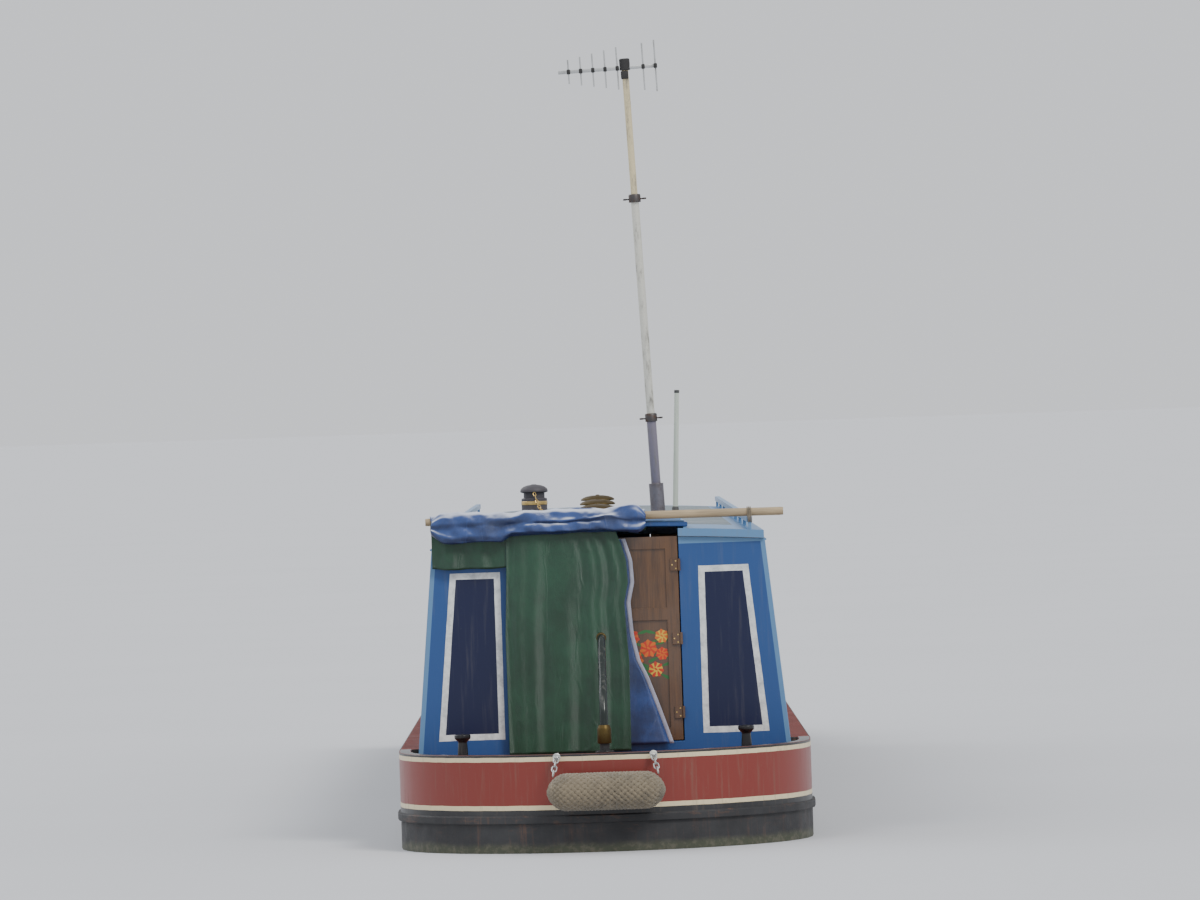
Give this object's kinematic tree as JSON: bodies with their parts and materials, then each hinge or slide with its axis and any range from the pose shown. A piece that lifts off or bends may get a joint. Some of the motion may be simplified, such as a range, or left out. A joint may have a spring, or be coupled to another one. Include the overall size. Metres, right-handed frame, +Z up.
{
  "type": "narrowboat",
  "caption": "Steel canal narrowboat with a traditional stern, tumblehome cabin, well deck, opening doors, hatch, rudder and propeller, and a tarpaulin hung over its rear doors.",
  "frame": {"origin": "middle of the boat's length and width, on the floor under the base plate", "axes": "+Y towards the stern, -Y towards the bow, +X to port, +Z up"},
  "size_m": [2.08, 14.0765, 4.6359],
  "materials": {
    "hull_black": "matt blacking",
    "bronze": "dull cast",
    "tiller_paint": "gloss paint",
    "deck_red": "non-slip paint",
    "cabin_blue": "coach enamel",
    "panel_navy": "coach enamel",
    "floor_wood": "varnished",
    "concrete": "cast slabs",
    "engine_green": "engine enamel",
    "window_frame": "satin",
    "brass": "polished, tarnished",
    "roof_paint": "matt",
    "door_wood": "grained and varnished",
    "rail_paint": "gloss paint",
    "chimney_black": "heat-proof black",
    "galvanised": "galvanised",
    "bare_aluminium": "weathered",
    "rod_plastic": "weathered",
    "pole_wood": "bare, weathered",
    "tarpaulin": "woven plastic sheet",
    "fender_rope": "rope work"
  },
  "bodies": {
    "hull": {"base_plate": "hull_black", "hull_side_left": "hull_black", "hull_side_right": "hull_black", "bow_side_left": "hull_black", "bow_side_right": "hull_black", "stem_bar": "hull_black", "swim_left": "hull_black", "swim_right": "hull_black", "uxter_plate": "hull_black", "counter": "hull_black", "stern_post": "hull_black", "skeg": "hull_black", "well_floor": "deck_red", "locker_bulkhead": "cabin_blue", "fore_deck": "deck_red", "cabin_floor": "floor_wood", "ballast": "concrete", "engine_block": "engine_green", "cabin_side_left": "cabin_blue", "cabin_side_right": "cabin_blue", "saloon_window_left": "window_frame", "saloon_window_right": "window_frame", "galley_window_left": "window_frame", "galley_window_right": "window_frame", "bathroom_window_left": "window_frame", "bathroom_window_right": "window_frame", "cabin_window_left": "brass", "cabin_window_right": "brass", "cabin_roof": "roof_paint", "rear_bulkhead": "panel_navy", "front_bulkhead": "panel_navy", "handrail_left": "rail_paint", "handrail_right": "rail_paint", "chimney": "chimney_black", "mast_socket": "galvanised", "whip_aerial": "rod_plastic", "cross_pole": "pole_wood", "tarpaulin": "tarpaulin", "bow_fender": "fender_rope", "stern_fender": "fender_rope"},
    "rudder_and_tiller": {"rudder": "hull_black", "swan_neck": "tiller_paint"},
    "propeller": {"propeller": "bronze"},
    "rear_hatch": {"rear_hatch": "cabin_blue"},
    "rear_door_left": {"rear_door_left": "door_wood"},
    "rear_door_right": {"rear_door_right": "door_wood"},
    "front_door_left": {"front_door_left": "cabin_blue"},
    "front_door_right": {"front_door_right": "cabin_blue"},
    "gas_locker_lid": {"gas_locker_lid": "deck_red"},
    "mast": {"mast": "galvanised", "tv_aerial": "bare_aluminium"}
  },
  "joints": [
    {"name": "rudder_turn", "type": "hinge", "parent": "hull", "child": "rudder_and_tiller", "pos_m": [0, 6.58, 0.5], "axis": [0, 0, 1], "range_deg": [-65, 65]},
    {"name": "propeller_spin", "type": "hinge", "parent": "hull", "child": "propeller", "pos_m": [0, 6.215, 0.3], "axis": [0, 1, 0], "continuous": true},
    {"name": "rear_hatch_slide", "type": "slide", "parent": "hull", "child": "rear_hatch", "axis": [0, -1, 0], "range_m": [0, 0.62]},
    {"name": "rear_door_left_swing", "type": "hinge", "parent": "hull", "child": "rear_door_left", "pos_m": [0.4, 5.789, 1.5], "axis": [0, 0, -1], "range_deg": [0, 110], "deforming": ["tarpaulin"]},
    {"name": "rear_door_right_swing", "type": "hinge", "parent": "hull", "child": "rear_door_right", "pos_m": [-0.4, 5.789, 1.5], "axis": [0, 0, 1], "range_deg": [0, 110]},
    {"name": "front_door_left_swing", "type": "hinge", "parent": "hull", "child": "front_door_left", "pos_m": [0.33, -4.159, 1.4], "axis": [0, 0, 1], "range_deg": [0, 110]},
    {"name": "front_door_right_swing", "type": "hinge", "parent": "hull", "child": "front_door_right", "pos_m": [-0.33, -4.159, 1.4], "axis": [0, 0, -1], "range_deg": [0, 110]},
    {"name": "gas_locker_lid_lift", "type": "hinge", "parent": "hull", "child": "gas_locker_lid", "pos_m": [0, -6.084, 1.14], "axis": [1, 0, 0], "range_deg": [0, 105]},
    {"name": "mast_turn", "type": "hinge", "parent": "hull", "child": "mast", "pos_m": [-0.32, 4.1, 2.1316], "axis": [0.0419, 0, 0.9991], "range_deg": [-180, 180]}
  ],
  "couplings": [
    {"joint": "rear_door_right_swing", "follows": "rear_door_left_swing", "ratio": 1}
  ]
}
